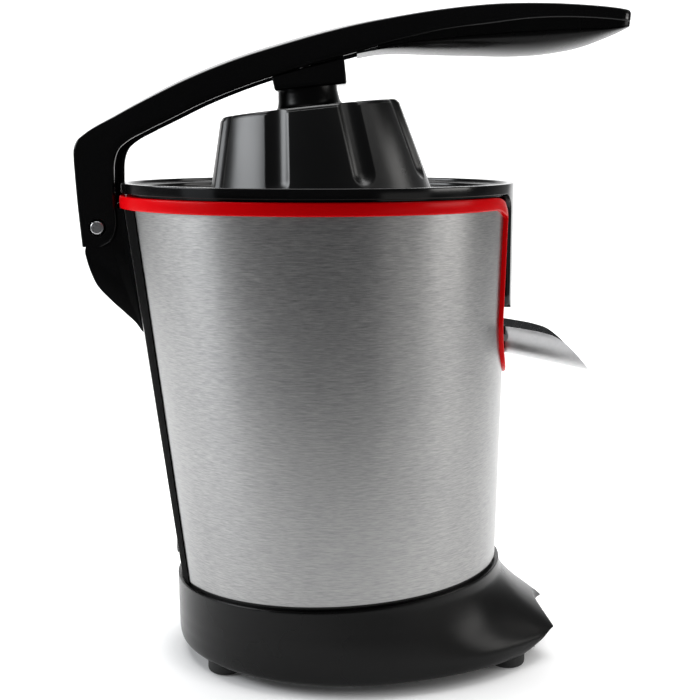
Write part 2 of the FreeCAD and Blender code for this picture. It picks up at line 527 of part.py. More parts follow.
# ---------------------------------------------------------------- arm
ARM_TOP = [(-109.6, 191.9), (-112.5, 231.0), (-112.5, 235.4), (-111.7, 239.2), (-109.1, 242.3), (-92.7, 252.1), (-77.5, 260.4), (-62.1, 268.1), (-42.0, 276.4),
           (-11.9, 285.9), (15.0, 292.6), (34.5, 295.9), (53.3, 298.5), (77.5, 300.6), (95.7, 301.1), (118.5, 300.2), (136.8, 298.4),
           (140.2, 297.0), (141.4, 294.2)]
ARM_LOW = [(140.6, 291.6), (136.0, 291.4), (114.2, 292.2), (95.9, 291.6), (77.6, 289.6), (42.7, 283.6), (21.3, 279.0), (12.3, 277.4), (-21.9, 268.2),
           (-47.2, 258.6), (-72.7, 246.7), (-86.6, 239.3), (-89.8, 236.9), (-91.6, 233.0), (-92.3, 228.4), (-92.3, 200.2), (-93.2, 197.2), (-95.2, 194.4), (-98.4, 192.6)]
arm = prism(ARM_TOP + ARM_LOW, -40, 40, "xz")


def half_w(x):
    if x < -25:
        return EAR_OUT
    if x < 70:
        k = (x + 25) / 95.0
        k = k * k * (3 - 2 * k)
        return EAR_OUT + (25.0 - EAR_OUT) * k
    if x < 129.4:
        return 25.0
    return 13.0 + math.sqrt(max(0.0, 144.0 - (x - 129.4) ** 2))


xs = [-120.0, -25.0] + [-25 + 9.5 * i for i in range(1, 11)] + [85, 100, 115, 129.4, 131.5, 133.6, 135.6, 137.4, 139.0, 140.2, 141.0, 141.4]
plan = [(x, -half_w(x)) for x in xs] + [(x, half_w(x)) for x in reversed(xs)]
planp = prism(plan, 150, 330, "xy")
arm = arm.common(planp)
# fork around the bracket, channel for the core and covers
arm = arm.cut(box(-130, -80, -EAR_IN, EAR_IN, 150, 212.5))
arm = arm.cut(ycyl(4.05, -30, 30, PIN_X, PIN_Z))
core_pts = [(-105.8, 214.0), (-107.5, 232.0), (-104.6, 238.0), (-88.6, 247.6), (-60.0, 262.6), (-40.2, 270.6), (-11.0, 279.8), (16.0, 286.4), (54.0, 292.2), (84.0, 294.6),
            (84.0, 293.0), (54.5, 289.6), (16.6, 282.6), (-10.0, 275.6), (-38.6, 266.4), (-58.4, 258.2), (-86.4, 243.6), (-99.6, 235.6), (-101.4, 231.4), (-99.8, 214.0)]
core = prism(core_pts, -8.0, 8.0, "xz")
core_room = prism([(x, z) for x, z in core_pts], -8.05, 8.05, "xz")
arm = arm.cut(core_room)
belly_top = [(18.0, 278.3), (21.3, 278.95), (42.7, 283.55), (77.6, 289.55), (95.9, 291.55), (114.2, 292.15), (136.0, 291.35), (140.4, 291.5)]
belly_bot = [(142.2, 290.6), (135.0, 286.6), (121.5, 281.6), (110.0, 279.4), (98.2, 278.6), (86.3, 278.3), (74.8, 278.5), (54.5, 279.0), (32.5, 278.9), (22.0, 278.0)]


def belly_hw(x, d):
    return max(0.6, half_w(x) - d)


bel = prism(belly_top + [(140.4, 270), (18.0, 270)], -40, 40, "xz")
xs2 = [18.0] + [24 + 8.0 * i for i in range(10)] + [104, 112, 119, 125, 130, 134, 137, 139, 140.4]
pl2 = [(x, -belly_hw(x, 0.8)) for x in xs2] + [(x, belly_hw(x, 0.8)) for x in reversed(xs2)]
bel = bel.common(prism(pl2, 150, 330, "xy"))
low_env = []
for x, zt, zb in [(17.0, 282, 277.6), (30, 284, 278.8), (54.5, 287, 278.9), (74.8, 290, 278.5), (86.3, 292, 278.3), (98.2, 293, 278.6), (110, 293, 279.5), (121.5, 293, 281.8), (133, 293, 286.0), (141.5, 293, 290.4)]:
    hw_ = belly_hw(min(x, 139.5), 0.8) + 1.0
    low_env.append(Part.Wire([Part.Arc(V(x, -hw_, zt), V(x, 0, zb), V(x, hw_, zt)).toShape(), Part.makeLine(V(x, hw_, zt), V(x, -hw_, zt))]))
env = Part.makeLoft(low_env, True, False)
bel = bel.common(env)
ARM_SCREWS = [(46.0, 0.0), (98.0, 0.0)]
blk_pts = [(-20.4, 268.55), (-19.0, 262.3), (13.6, 265.7), (12.4, 277.35)]
blk = prism(blk_pts, -15.0, 15.0, "xz")
blk = blk.cut(prism(ARM_TOP + ARM_LOW, -40, 40, "xz"))
ax = V(-math.sin(math.radians(TILT)), 0, math.cos(math.radians(TILT)))
top = V(DOME_TOP[0], 0, DOME_TOP[1])


def along(d):
    return top + ax * d


# dome, built upright at its own origin then leaned
dome = Part.makeCone(DOME_RB, DOME_RT, DOME_H, V(0, 0, -DOME_H), UP)
dome = soften(dome, 3.2, lambda e: abs(e.CenterOfMass.z) < 1e-3 and len(e.Vertexes) == 1 and e.BoundBox.XLength > 50)
slope = (DOME_RB - DOME_RT) / DOME_H
cutter = Part.makeCone(DOME_RB - DOME_WALL, DOME_RT - DOME_WALL + 1.0, DOME_H - 6.0, V(0, 0, -DOME_H - 0.001), UP)
cutter = soften(cutter, 8.0, lambda e: abs(e.CenterOfMass.z + 6.0) < 0.01 and e.BoundBox.XLength > 50)
flutes = []
for i in range(FLUTES):
    a = -90 - 19.0 + 360.0 / FLUTES * i
    rad = 8.0
    z_lo = -32.0
    r_lo = DOME_RT + slope * 32.0 + rad - 2.0
    r_hi = DOME_RT - slope * 8.0 + rad - 2.0
    d = V(r_hi - r_lo, 0, 8.0 - z_lo)
    f = Part.makeCylinder(rad, d.Length, V(r_lo, 0, z_lo), d)
    f = f.fuse(Part.makeSphere(rad, V(r_lo, 0, z_lo)))
    f.rotate(V(0, 0, 0), UP, a)
    flutes.append(f)
dome = dome.cut(cutter)
for f in flutes:
    dome = dome.cut(f)
stem = cyl(STEM_R, -0.5, 11.4)
dome = dome.fuse(stem).removeSplitter()
dome = dome.cut(cyl(2.6, -20, 20)).cut(cyl(5.2, -20, -4.4))


def lean(s):
    s = s.copy()
    s.rotate(V(0, 0, 0), V(0, 1, 0), -TILT)
    s.translate(top)
    return s


put("press_dome", lean(dome))
dscrew = cyl(2.5, -6.2, 26.0).fuse(cyl(5.0, -6.2, -4.45)).removeSplitter()
put("dome_screw", lean(dscrew))
room = lean(cyl(2.6, -20, 30))
neck = lean(cyl(STEM_R + 0.15, -1, 11.45))
arm = arm.cut(room)
core = core.cut(room)
blk = blk.cut(room).cut(neck)
put("stem_block", blk)
asx = []
for (x, y) in ARM_SCREWS:
    zt = 279.2
    bel = bel.cut(cyl(1.75, 270, 310, x, y)).cut(cyl(3.2, 260, 281.6, x, y))
    asx.append(cyl(3.0, 279.9, 281.55, x, y).fuse(cyl(1.6, 281.5, 291.5 if x < 80 else 297.0, x, y)).removeSplitter())
    arm = arm.cut(cyl(1.7, 270, 292.0 if x < 80 else 297.2, x, y))
    core = core.cut(cyl(1.75, 270, 300, x, y))
put("arm_screws", *asx)
put("handle_underside", max(bel.Solids, key=lambda q: q.Volume))
arm = arm.removeSplitter()
put("arm_shell", arm)
put("arm_core", core)
hb = []
for s in (-1, 1):
    a, b = (EAR_IN + 0.05, EAR_OUT) if s > 0 else (-EAR_OUT, -EAR_IN - 0.05)
    hb.append(ycyl(4.0, a, b, PIN_X, PIN_Z).cut(ycyl(2.46, -30, 30, PIN_X, PIN_Z)))
put("hinge_bushes", *hb)

# ---------------------------------------------------------------- export, centred under the whole
bb = FreeCAD.BoundBox()
for s in nodes.values():
    bb.add(s.BoundBox)
shift = V(-(bb.XMin + bb.XMax) / 2.0, 0, -bb.ZMin)
bad = []
for name, s in nodes.items():
    t = s.copy()
    t.translate(shift)
    ok = t.isValid() and all(x.isClosed() for x in t.Solids) and len(t.Solids) > 0
    if not ok:
        bad.append(name)
    t.exportStep("parts/%s.step" % name)
print("nodes", len(nodes), "shift", round(shift.x, 4), round(shift.z, 4), "box", bb)
print("solids", {n: len(s.Solids) for n, s in nodes.items()})
print("bad", bad)
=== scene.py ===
import bpy, bmesh, math, json
import numpy as np
from mathutils import Vector, Matrix


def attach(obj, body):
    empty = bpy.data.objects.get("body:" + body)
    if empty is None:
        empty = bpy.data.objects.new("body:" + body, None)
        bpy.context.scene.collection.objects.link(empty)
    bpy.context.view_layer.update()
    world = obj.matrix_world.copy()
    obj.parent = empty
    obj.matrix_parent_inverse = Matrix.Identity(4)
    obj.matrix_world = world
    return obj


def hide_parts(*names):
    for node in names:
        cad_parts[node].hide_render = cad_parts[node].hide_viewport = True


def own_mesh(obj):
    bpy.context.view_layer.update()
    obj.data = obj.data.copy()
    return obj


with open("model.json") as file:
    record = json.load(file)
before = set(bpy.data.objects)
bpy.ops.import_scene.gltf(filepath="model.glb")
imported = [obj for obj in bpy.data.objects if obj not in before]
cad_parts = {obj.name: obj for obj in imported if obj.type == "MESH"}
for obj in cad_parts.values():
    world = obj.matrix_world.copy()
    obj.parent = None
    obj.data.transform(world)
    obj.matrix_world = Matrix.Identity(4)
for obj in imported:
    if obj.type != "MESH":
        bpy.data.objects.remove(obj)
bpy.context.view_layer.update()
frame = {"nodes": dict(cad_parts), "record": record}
nodes = frame["nodes"]
SX = -14.5            # modelling origin (spindle axis) to frame origin, mm


def M(x, y, z):
    return ((x + SX) * 0.001, y * 0.001, z * 0.001)


# ------------------------------------------------------------------ materials
def new_mat(name):
    m = bpy.data.materials.new(name)
    m.use_nodes = True
    nt = m.node_tree
    b = nt.nodes["Principled BSDF"]
    return m, nt, b


def N(nt, kind, **kw):
    n = nt.nodes.new(kind)
    for k, v in kw.items():
        if k in n.inputs:
            n.inputs[k].default_value = v
        else:
            setattr(n, k, v)
    return n


def coords(nt, scale):
    t = N(nt, "ShaderNodeTexCoord")
    mp = N(nt, "ShaderNodeMapping")
    mp.inputs["Scale"].default_value = scale
    nt.links.new(t.outputs["Object"], mp.inputs["Vector"])
    return mp.outputs["Vector"]


def noise(nt, vec, scale, detail=4.0, rough=0.6):
    n = N(nt, "ShaderNodeTexNoise")
    n.inputs["Scale"].default_value = scale
    n.inputs["Detail"].default_value = detail
    n.inputs["Roughness"].default_value = rough
    nt.links.new(vec, n.inputs["Vector"])
    return n.outputs["Fac"]


def remap(nt, fac, a, b, lo=0.0, hi=1.0):
    r = N(nt, "ShaderNodeMapRange")
    r.inputs["From Min"].default_value = lo
    r.inputs["From Max"].default_value = hi
    r.inputs["To Min"].default_value = a
    r.inputs["To Max"].default_value = b
    nt.links.new(fac, r.inputs["Value"])
    return r.outputs["Result"]


def colour(nt, fac, c0, c1, p0=0.3, p1=0.7):
    r = N(nt, "ShaderNodeValToRGB")
    r.color_ramp.elements[0].position = p0
    r.color_ramp.elements[1].position = p1
    r.color_ramp.elements[0].color = (*c0, 1)
    r.color_ramp.elements[1].color = (*c1, 1)
    nt.links.new(fac, r.inputs["Fac"])
    return r.outputs["Color"]


def bump(nt, height, bsdf, strength, dist, prev=None):
    b = N(nt, "ShaderNodeBump")
    b.inputs["Strength"].default_value = strength
    b.inputs["Distance"].default_value = dist
    nt.links.new(height, b.inputs["Height"])
    if prev is not None:
        nt.links.new(prev, b.inputs["Normal"])
    nt.links.new(b.outputs["Normal"], bsdf.inputs["Normal"])
    return b.outputs["Normal"]


def plastic(name, c0, c1, r0, r1, grain, grain_str, coat=0.0, spec=0.5, smudge=18.0):
    m, nt, b = new_mat(name)
    v = coords(nt, (1, 1, 1))
    big = noise(nt, v, smudge, 3, 0.55)
    fine = noise(nt, v, grain, 2, 0.5)
    nt.links.new(colour(nt, big, c0, c1), b.inputs["Base Color"])
    nt.links.new(remap(nt, big, r0, r1, 0.3, 0.7), b.inputs["Roughness"])
    bump(nt, fine, b, grain_str, 0.00012)
    b.inputs["Specular IOR Level"].default_value = spec
    b.inputs["Coat Weight"].default_value = coat
    b.inputs["Coat Roughness"].default_value = 0.05
    return m


def metal(name, c0, c1, r0, r1, scale, aniso, lines, strength, spots=1.0):
    """scale stretches the grain; lines is its fineness"""
    m, nt, b = new_mat(name)
    v = coords(nt, scale)
    line = noise(nt, v, lines, 5, 0.65)
    soft = noise(nt, coords(nt, (1, 1, 1)), 9.0 * spots, 3, 0.5)
    mix = N(nt, "ShaderNodeMath", operation="ADD")
    half = N(nt, "ShaderNodeMath", operation="MULTIPLY")
    half.inputs[1].default_value = 0.35
    nt.links.new(soft, half.inputs[0])
    nt.links.new(line, mix.inputs[0])
    nt.links.new(half.outputs[0], mix.inputs[1])
    nt.links.new(colour(nt, mix.outputs[0], c0, c1, 0.45, 0.95), b.inputs["Base Color"])
    nt.links.new(remap(nt, line, r0, r1, 0.3, 0.7), b.inputs["Roughness"])
    b.inputs["Metallic"].default_value = 1.0
    b.inputs["Anisotropic"].default_value = aniso
    b.inputs["Anisotropic Rotation"].default_value = 0.25 if aniso > 0 else 0.0
    if aniso > 0:
        t = N(nt, "ShaderNodeTangent")
        t.direction_type = "RADIAL"
        t.axis = "Z"
        nt.links.new(t.outputs["Tangent"], b.inputs["Tangent"])
    bump(nt, line, b, strength, 0.00005)
    return m


MAT = {
    "black_gloss": plastic("black_gloss", (0.0012, 0.0012, 0.0013), (0.0024, 0.0024, 0.0026), 0.11, 0.18, 900, 0.02, 0.0, 0.28),
    "black_satin": plastic("black_satin", (0.0022, 0.0022, 0.0022), (0.0038, 0.0038, 0.0038), 0.34, 0.42, 2600, 0.20, 0.0, 0.30),
    "body_steel": metal("body_steel", (0.225, 0.226, 0.230), (0.425, 0.422, 0.412), 0.31, 0.40, (200, 200, 2600), 0.66, 1.0, 0.17),
    "bright_steel": metal("bright_steel", (0.40, 0.40, 0.405), (0.50, 0.50, 0.505), 0.17, 0.24, (60, 60, 60), 0.0, 6.0, 0.003),
    "red_gloss": plastic("red_gloss", (0.60, 0.0005, 0.002), (0.70, 0.001, 0.004), 0.20, 0.27, 700, 0.02, 0.0, 0.06),
    "rubber": plastic("rubber", (0.012, 0.012, 0.012), (0.022, 0.022, 0.022), 0.62, 0.78, 1800, 0.25, 0.0, 0.35),
    "plain_steel": metal("plain_steel", (0.40, 0.40, 0.405), (0.58, 0.58, 0.585), 0.24, 0.38, (300, 300, 300), 0.0, 4.0, 0.05),
    "nylon": plastic("nylon", (0.70, 0.68, 0.61), (0.80, 0.78, 0.71), 0.38, 0.5, 1200, 0.08, 0.0, 0.45),
    "bronze": metal("bronze", (0.42, 0.24, 0.09), (0.60, 0.38, 0.16), 0.28, 0.42, (200, 200, 600), 0.0, 3.0, 0.08),
    "lamination": metal("lamination", (0.12, 0.12, 0.125), (0.22, 0.22, 0.225), 0.42, 0.6, (20, 20, 1800), 0.0, 1.0, 0.35),
}
BASE = plastic("base_satin", (0.0012, 0.0012, 0.0012), (0.0022, 0.0022, 0.0022), 0.25, 0.31, 3000, 0.12, 0.0, 0.17)
GRIP = plastic("grip_satin", (0.0016, 0.0016, 0.0016), (0.0030, 0.0030, 0.0030), 0.24, 0.30, 3000, 0.12, 0.0, 0.13)
SEAM = plastic("seam_matt", (0.003, 0.003, 0.003), (0.005, 0.005, 0.005), 0.70, 0.80, 1800, 0.10, 0.0, 0.01)
# two copies of the spout steel: the inside one is darker, painted shade in the trough
SPOUT_OUT = metal("spout_outside", (0.40, 0.40, 0.405), (0.48, 0.48, 0.485), 0.28, 0.36, (60, 60, 60), 0.0, 6.0, 0.003)
SPOUT_IN_SHADE = metal("spout_inside_shade", (0.22, 0.22, 0.225), (0.30, 0.30, 0.305), 0.22, 0.30, (60, 60, 60), 0.0, 6.0, 0.003)
DOME = plastic("dome_satin", (0.0022, 0.0022, 0.0023), (0.0038, 0.0038, 0.004), 0.26, 0.33, 2300, 0.16, 0.0, 0.45)
slots = {s["node"]: s["material_slot"] for s in frame["record"]["subparts"]}
for n, o in nodes.items():
    mat = MAT[slots.get(n, "black_satin")]
    o.data.materials.clear()
    o.data.materials.append(mat)


# ------------------------------------------------------------------ mesh helpers
def finish_mesh(name, verts, faces, mat, body, reps=(), sharp=32.0):
    me = bpy.data.meshes.new(name)
    me.from_pydata([tuple(v) for v in verts], [], faces)
    me.validate()
    bm = bmesh.new()
    bm.from_mesh(me)
    bmesh.ops.remove_doubles(bm, verts=bm.verts, dist=1e-7)
    bmesh.ops.recalc_face_normals(bm, faces=bm.faces)
    bm.to_mesh(me)
    bm.free()
    me.polygons.foreach_set("use_smooth", [True] * len(me.polygons))
    me.set_sharp_from_angle(angle=math.radians(sharp))
    ob = bpy.data.objects.new(name, me)
    bpy.context.scene.collection.objects.link(ob)
    me.materials.append(mat)
    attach(ob, body)
    for r in reps:
        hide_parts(r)
    return ob


def strip_faces(rows, cols, close_r=False, close_c=True):
    f = []
    for i in range(rows if close_r else rows - 1):
        i2 = (i + 1) % rows
        for j in range(cols if close_c else cols - 1):
            j2 = (j + 1) % cols
            f.append((i * cols + j, i * cols + j2, i2 * cols + j2, i2 * cols + j))
    return f


def catmull(pts, per):
    pts = [np.array(p, float) for p in pts]
    out = []
    n = len(pts)
    for i in range(n - 1):
        p1, p2 = pts[i], pts[i + 1]
        p0 = pts[i - 1] if i > 0 else 2 * p1 - p2
        p3 = pts[i + 2] if i + 2 < n else 2 * p2 - p1
        d1 = max(1e-6, np.linalg.norm(p2 - p1))
        d0 = max(1e-6, np.linalg.norm(p1 - p0))
        d2 = max(1e-6, np.linalg.norm(p3 - p2))
        m1 = d1 * ((p2 - p1) / d1 * d0 + (p1 - p0) / d0 * d1) / (d0 + d1)
        m2 = d1 * ((p3 - p2) / d2 * d1 + (p2 - p1) / d1 * d2) / (d1 + d2)
        for k in range(per):
            t = k / per
            out.append((2 * t**3 - 3 * t**2 + 1) * p1 + (t**3 - 2 * t**2 + t) * m1 + (-2 * t**3 + 3 * t**2) * p2 + (t**3 - t**2) * m2)
    out.append(pts[-1])
    return np.array(out)


def lathe(name, prof, mat, body, segs=240, reps=(), sharp=30, place=None, closed=True):
    rows = len(prof)
    verts = []
    for (r, z) in prof:
        for j in range(segs):
            a = 2 * math.pi * j / segs
            p = (r * math.cos(a), r * math.sin(a), z)
            verts.append(place(p) if place else M(*p))
    return finish_mesh(name, verts, strip_faces(rows, segs, closed, True), mat, body, reps, sharp)


def round_profile(pts, radii, n=5):
    """closed polygon in (r, z) with rounded corners"""
    out = []
    m = len(pts)
    for i in range(m):
        p0, p1, p2 = (np.array(pts[k % m], float) for k in (i - 1, i, i + 1))
        r = radii[i] if isinstance(radii, (list, tuple)) else radii
        a, b = p0 - p1, p2 - p1
        la, lb = np.linalg.norm(a), np.linalg.norm(b)
        t = min(r, 0.48 * la, 0.48 * lb)
        if t < 1e-4:
            out.append(tuple(p1))
            continue
        q0, q1 = p1 + a / la * t, p1 + b / lb * t
        for k in range(n + 1):
            s = k / n
            out.append(tuple((1 - s) ** 2 * q0 + 2 * s * (1 - s) * p1 + s * s * q1))
    return out


def prism_mesh(name, pts, y0, y1, mat, body, bev, reps=(), cuts=()):
    bm = bmesh.new()
    vs = [bm.verts.new(M(x, y0, z)) for x, z in pts]
    f = bm.faces.new(vs)
    ex = bmesh.ops.extrude_face_region(bm, geom=[f])
    for v in ex["geom"]:
        if isinstance(v, bmesh.types.BMVert):
            v.co.y += (y1 - y0) * 0.001
    bmesh.ops.recalc_face_normals(bm, faces=bm.faces)
    me = bpy.data.meshes.new(name)
    bm.to_mesh(me)
    bm.free()
    ob = bpy.data.objects.new(name, me)
    bpy.context.scene.collection.objects.link(ob)
    for c in cuts:
        md = ob.modifiers.new("cut", "BOOLEAN")
        md.object = c
        md.solver = "EXACT"
    bv = ob.modifiers.new("edge", "BEVEL")
    bv.width = bev * 0.001
    bv.segments = 4
    bv.limit_method = "ANGLE"
    bv.angle_limit = math.radians(40)
    bake(ob)
    for c in cuts:
        bpy.data.objects.remove(c)
    me = ob.data
    me.polygons.foreach_set("use_smooth", [True] * len(me.polygons))
    me.set_sharp_from_angle(angle=math.radians(32))
    me.materials.append(mat)
    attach(ob, body)
    for r in reps:
        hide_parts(r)
    return ob


def bake(ob):
    dg = bpy.context.evaluated_depsgraph_get()
    me = bpy.data.meshes.new_from_object(ob.evaluated_get(dg))
    ob.modifiers.clear()
    ob.data = me


def raw_box(x0, x1, y0, y1, z0, z1):
    me = bpy.data.meshes.new("tool")
    bm = bmesh.new()
    bmesh.ops.create_cube(bm, size=1.0)
    for v in bm.verts:
        v.co = Vector(M(x0 + (v.co.x + .5) * (x1 - x0), y0 + (v.co.y + .5) * (y1 - y0), z0 + (v.co.z + .5) * (z1 - z0)))
    bm.to_mesh(me)
    bm.free()
    ob = bpy.data.objects.new("tool", me)
    bpy.context.scene.collection.objects.link(ob)
    return ob


def raw_ycyl(r, y0, y1, x, z, n=64):
    me = bpy.data.meshes.new("tool")
    bm = bmesh.new()
    lo = [bm.verts.new(M(x + r * math.cos(2 * math.pi * i / n), y0, z + r * math.sin(2 * math.pi * i / n))) for i in range(n)]
    hi = [bm.verts.new(M(x + r * math.cos(2 * math.pi * i / n), y1, z + r * math.sin(2 * math.pi * i / n))) for i in range(n)]
    bm.faces.new(lo)
    bm.faces.new(hi)
    for i in range(n):
        bm.faces.new((lo[i], lo[(i + 1) % n], hi[(i + 1) % n], hi[i]))
    bmesh.ops.recalc_face_normals(bm, faces=bm.faces)
    bm.to_mesh(me)
    bm.free()
    ob = bpy.data.objects.new("tool", me)
    bpy.context.scene.collection.objects.link(ob)
    return ob


# ------------------------------------------------------------------ body outline
def body_cr(z):
    k = (z - 37.0) / 171.0
    return 9.1 - 9.4 * k, 75.5 + 13.5 * k


def interp(x, table):
    xs, ys = zip(*table)
    return float(np.interp(x, xs, ys))


# ------------------------------------------------------------------ lever arm
PIN = (-100.5, 200.9)


def half_w(x):
    if x < -25:
        return 16.0
    if x < 70:
        k = (x + 25) / 95.0
        k = k * k * (3 - 2 * k)
        return 16.0 + 9.0 * k
    if x < 134.0:
        return 25.0
    return 19.5 + math.sqrt(max(0.0, 30.25 - (x - 134.0) ** 2))


ARM = [  # top outline point, low outline point
    ((-109.6, 191.9), (-98.6, 192.2)), ((-109.9, 195.5), (-94.6, 194.6)), ((-110.3, 200.0), (-92.5, 199.0)),
    ((-111.3, 212.0), (-92.3, 212.0)), ((-112.15, 226.0), (-92.3, 225.0)), ((-112.42, 232.0), (-92.0, 230.4)),
    ((-112.2, 236.8), (-91.0, 234.2)), ((-110.6, 240.6), (-89.4, 237.0)), ((-107.4, 243.4), (-86.9, 239.2)),
    ((-92.7, 252.1), (-77.2, 244.6)), ((-77.5, 260.4), (-65.6, 250.2)), ((-62.1, 268.1), (-53.0, 256.3)),
    ((-42.0, 276.4), (-36.0, 263.2)), ((-11.9, 285.9), (-9.0, 272.0)), ((15.0, 292.6), (17.0, 279.0)),
    ((34.5, 295.9), (36.0, 284.0)), ((53.3, 298.5), (54.0, 287.9)), ((77.5, 300.6), (77.6, 291.2)), ((95.7, 301.05), (95.9, 293.3)),
    ((118.5, 300.2), (118.0, 293.6)), ((130.0, 299.2), (130.0, 292.9)), ((135.6, 298.4), (135.4, 292.4)),
    ((138.6, 297.7), (138.4, 292.3)), ((139.5, 296.9), (139.3, 292.9))]
tp = catmull([a for a, b in ARM], 10)
bp = catmull([b for a, b in ARM], 10)
rows = []
for T, B in zip(tp, bp):
    d = T - B
    t = np.linalg.norm(d)
    n = d / t
    mid = 0.5 * (T + B)
    w = max(1.2, half_w(mid[0]))
    crown = min(1.9 if mid[0] < 10 else 1.9 - 1.1 * min(1, (mid[0] - 10) / 70.0), 0.35 * t)
    re = min(1.05, 0.14 * t, 0.3 * w)
    rb = min(1.0, 0.15 * t, 0.3 * w)
    dep = 3.2 * min(1.0, max(0.0, (24.0 - mid[0]) / 8.0))
    yi = w - 2.5
    sec = [(yi * k / 6.0, dep) for k in range(7)]
    sec += [(yi + 0.08, 0.5 * dep), (yi + 0.16, min(0.35, dep)), (yi + 0.4, 0.0), (w - rb, 0.0)]
    for k in range(1, 5):
        a = math.pi / 2 * k / 4
        sec.append((w - rb + rb * math.sin(a), rb - rb * math.cos(a)))
    he = t - crown
    for k in range(1, 4):
        sec.append((w, rb + (he - re - rb) * k / 3.0))
    for k in range(1, 5):
        a = math.pi / 2 * k / 4
        sec.append((w - re + re * math.cos(a), he - re + re * math.sin(a) * 1.0))
    for k in range(1, 9):
        y = (w - re) * (1 - k / 8.0)
        sec.append((y, he + crown * (1 - (y / (w - re)) ** 2)))
    full = sec + [(-y, h) for y, h in reversed(sec[1:-1])]
    rows.append([M(B[0] + n[0] * h, y, B[1] + n[1] * h) for y, h in full])
cols = len(rows[0])
verts = [v for r in rows for v in r]
faces = strip_faces(len(rows), cols)
faces.append(tuple(range(cols)))
faces.append(tuple((len(rows) - 1) * cols + j for j in range(cols)))
arm = finish_mesh("lever_arm", verts, faces, MAT["black_gloss"], "press_arm", ["arm_shell"])
tool = raw_box(-130, -80, -12.9, 12.9, 150, 212.5)
md = arm.modifiers.new("fork", "BOOLEAN")
md.object = tool
md.solver = "EXACT"
bake(arm)
bpy.data.objects.remove(tool)
arm.data.polygons.foreach_set("use_smooth", [True] * len(arm.data.polygons))
arm.data.set_sharp_from_angle(angle=math.radians(32))

# underside of the grip
ZT = [(18, 279.0), (21.3, 279.7), (42.7, 285.6), (54, 287.9), (77.6, 291.2), (95.9, 293.3), (118, 293.6), (131, 292.9), (141, 292.6)]
ZG = [(18, 278.7), (24, 279.9), (36, 282.6), (54, 284.6), (72.7, 286.3), (99.8, 288.1), (118, 288.9), (131, 289.4), (138, 290.4), (141, 291.6)]
ZB = [(18, 278.3), (20, 278.9), (26, 279.5), (36, 279.7), (54.5, 279.1), (74.8, 278.6), (86.3, 278.4), (98.2, 278.8), (110, 280.2), (121.5, 282.7), (131, 286.2), (137, 288.8), (141, 291.0)]


def smooth_table(tab, n=160, x0=18.0, x1=140.6):
    c = catmull(tab, 12)
    return lambda x: float(np.interp(x, c[:, 0], c[:, 1]))


zt, zg, zb = smooth_table(ZT), smooth_table(ZG), smooth_table(ZB)
rows = []
for x in list(np.linspace(18.2, 120, 90)) + list(120 + 18.9 * np.sin(np.linspace(0.05, 1, 40) * math.pi / 2)):
    w = max(1.0, half_w(x) - 0.7)
    a, g, b = zt(x) + 0.25, min(zg(x), zt(x) - 0.15), zb(x)
    b = min(b, g - 0.25)
    sec = [(w, a), (w, a - (a - g) * 0.33), (w - 0.05, a - (a - g) * 0.66), (w - 0.15, g + 0.30), (w - 0.75, g + 0.18), (w - 0.75, g - 0.14), (w - 0.2, g - 0.26)]
    for k in range(1, 25):
        p = math.pi / 2 * k / 24.0
        sec.append(((w - 0.2) * max(0.0, math.cos(p)) ** 0.86, g - 0.26 - (g - 0.26 - b) * math.sin(p) ** 0.95))
    full = sec + [(-y, z) for y, z in reversed(sec[:-1])]
    rows.append([M(x, y, z) for y, z in full])
cols = len(rows[0])
faces = strip_faces(len(rows), cols)
faces += [tuple(range(cols)), tuple((len(rows) - 1) * cols + j for j in range(cols))]
finish_mesh("grip_underside", [v for r in rows for v in r], faces, GRIP, "press_arm", ["handle_underside"])

# stem block
prism_mesh("stem_block_skin", [(-20.3, 268.9), (-18.9, 262.3), (13.6, 265.7), (12.3, 277.6)], -15.0, 15.0, MAT["black_gloss"], "press_arm", 1.0, ["stem_block"])

# ------------------------------------------------------------------ pressing dome
TILT = math.radians(6.1)
TOP = (-3.70, 254.95)


def lean(p):
    x, y, z = p
    return M(TOP[0] + x * math.cos(TILT) - z * math.sin(TILT), y, TOP[1] + x * math.sin(TILT) + z * math.cos(TILT))


RT, RB, H = 41.1, 53.5, 46.8
slope = (RB - RT) / H
RHO, DEPTH, ZLO = 7.8, 2.2, -31.0
centres = [math.radians(-109.0 + 45.0 * i) for i in range(8)]


def smin(a, b, k):
    h = np.clip(0.5 + 0.5 * (b - a) / k, 0, 1)
    return b + (a - b) * h - k * h * (1 - h)


segs = 840
ang = np.linspace(0, 2 * math.pi, segs, endpoint=False)
prof_z = []
rf = 1.9
path = [(RT - rf + rf * math.sin(a), -rf + rf * math.cos(a)) for a in np.linspace(0, math.pi / 2 - 0.26, 9)]
path += [(RT + slope * (-z), z) for z in np.linspace(-1.6, -H + 1.0, 74)]
path += [(RB - 0.25, -H + 0.35), (RB - 0.9, -H)]
outer = []
for (r, z) in path:
    rr = np.full(segs, r)
    for c in centres:
        d = (ang - c + math.pi) % (2 * math.pi) - math.pi
        zz = min(z, 0.0)
        rfl = RT + slope * (-z) + RHO - DEPTH
        q = RHO if zz > ZLO else math.sqrt(max(0.0, RHO**2 - (ZLO - zz) ** 2))
        if q < 0.05:
            continue
        s2 = q * q - (rfl * np.sin(d)) ** 2
        ok = (s2 > 0) & (np.cos(d) > 0)
        cut = np.where(ok, rfl * np.cos(d) - np.sqrt(np.maximum(s2, 0)), 1e3)
        rr = np.where(ok, smin(rr, cut, 0.9), rr)
    outer.append((rr, z))
rows = [[(r[j] * math.cos(ang[j]), r[j] * math.sin(ang[j]), z) for j in range(segs)] for r, z in outer]
inner = [(RB - 3.0, -H + 0.05), (RB - 3.4, -H + 1.0)] + [(RT + slope * (-z) - 3.9, z) for z in np.linspace(-H + 3, -14, 20)]
inner += [(RT + slope * 14 - 3.9 - 8 * (1 - math.cos(a)), -14 + 8 * math.sin(a)) for a in np.linspace(0.15, math.pi / 2, 9)]
inner += [(20, -5.8), (5.3, -5.6)]
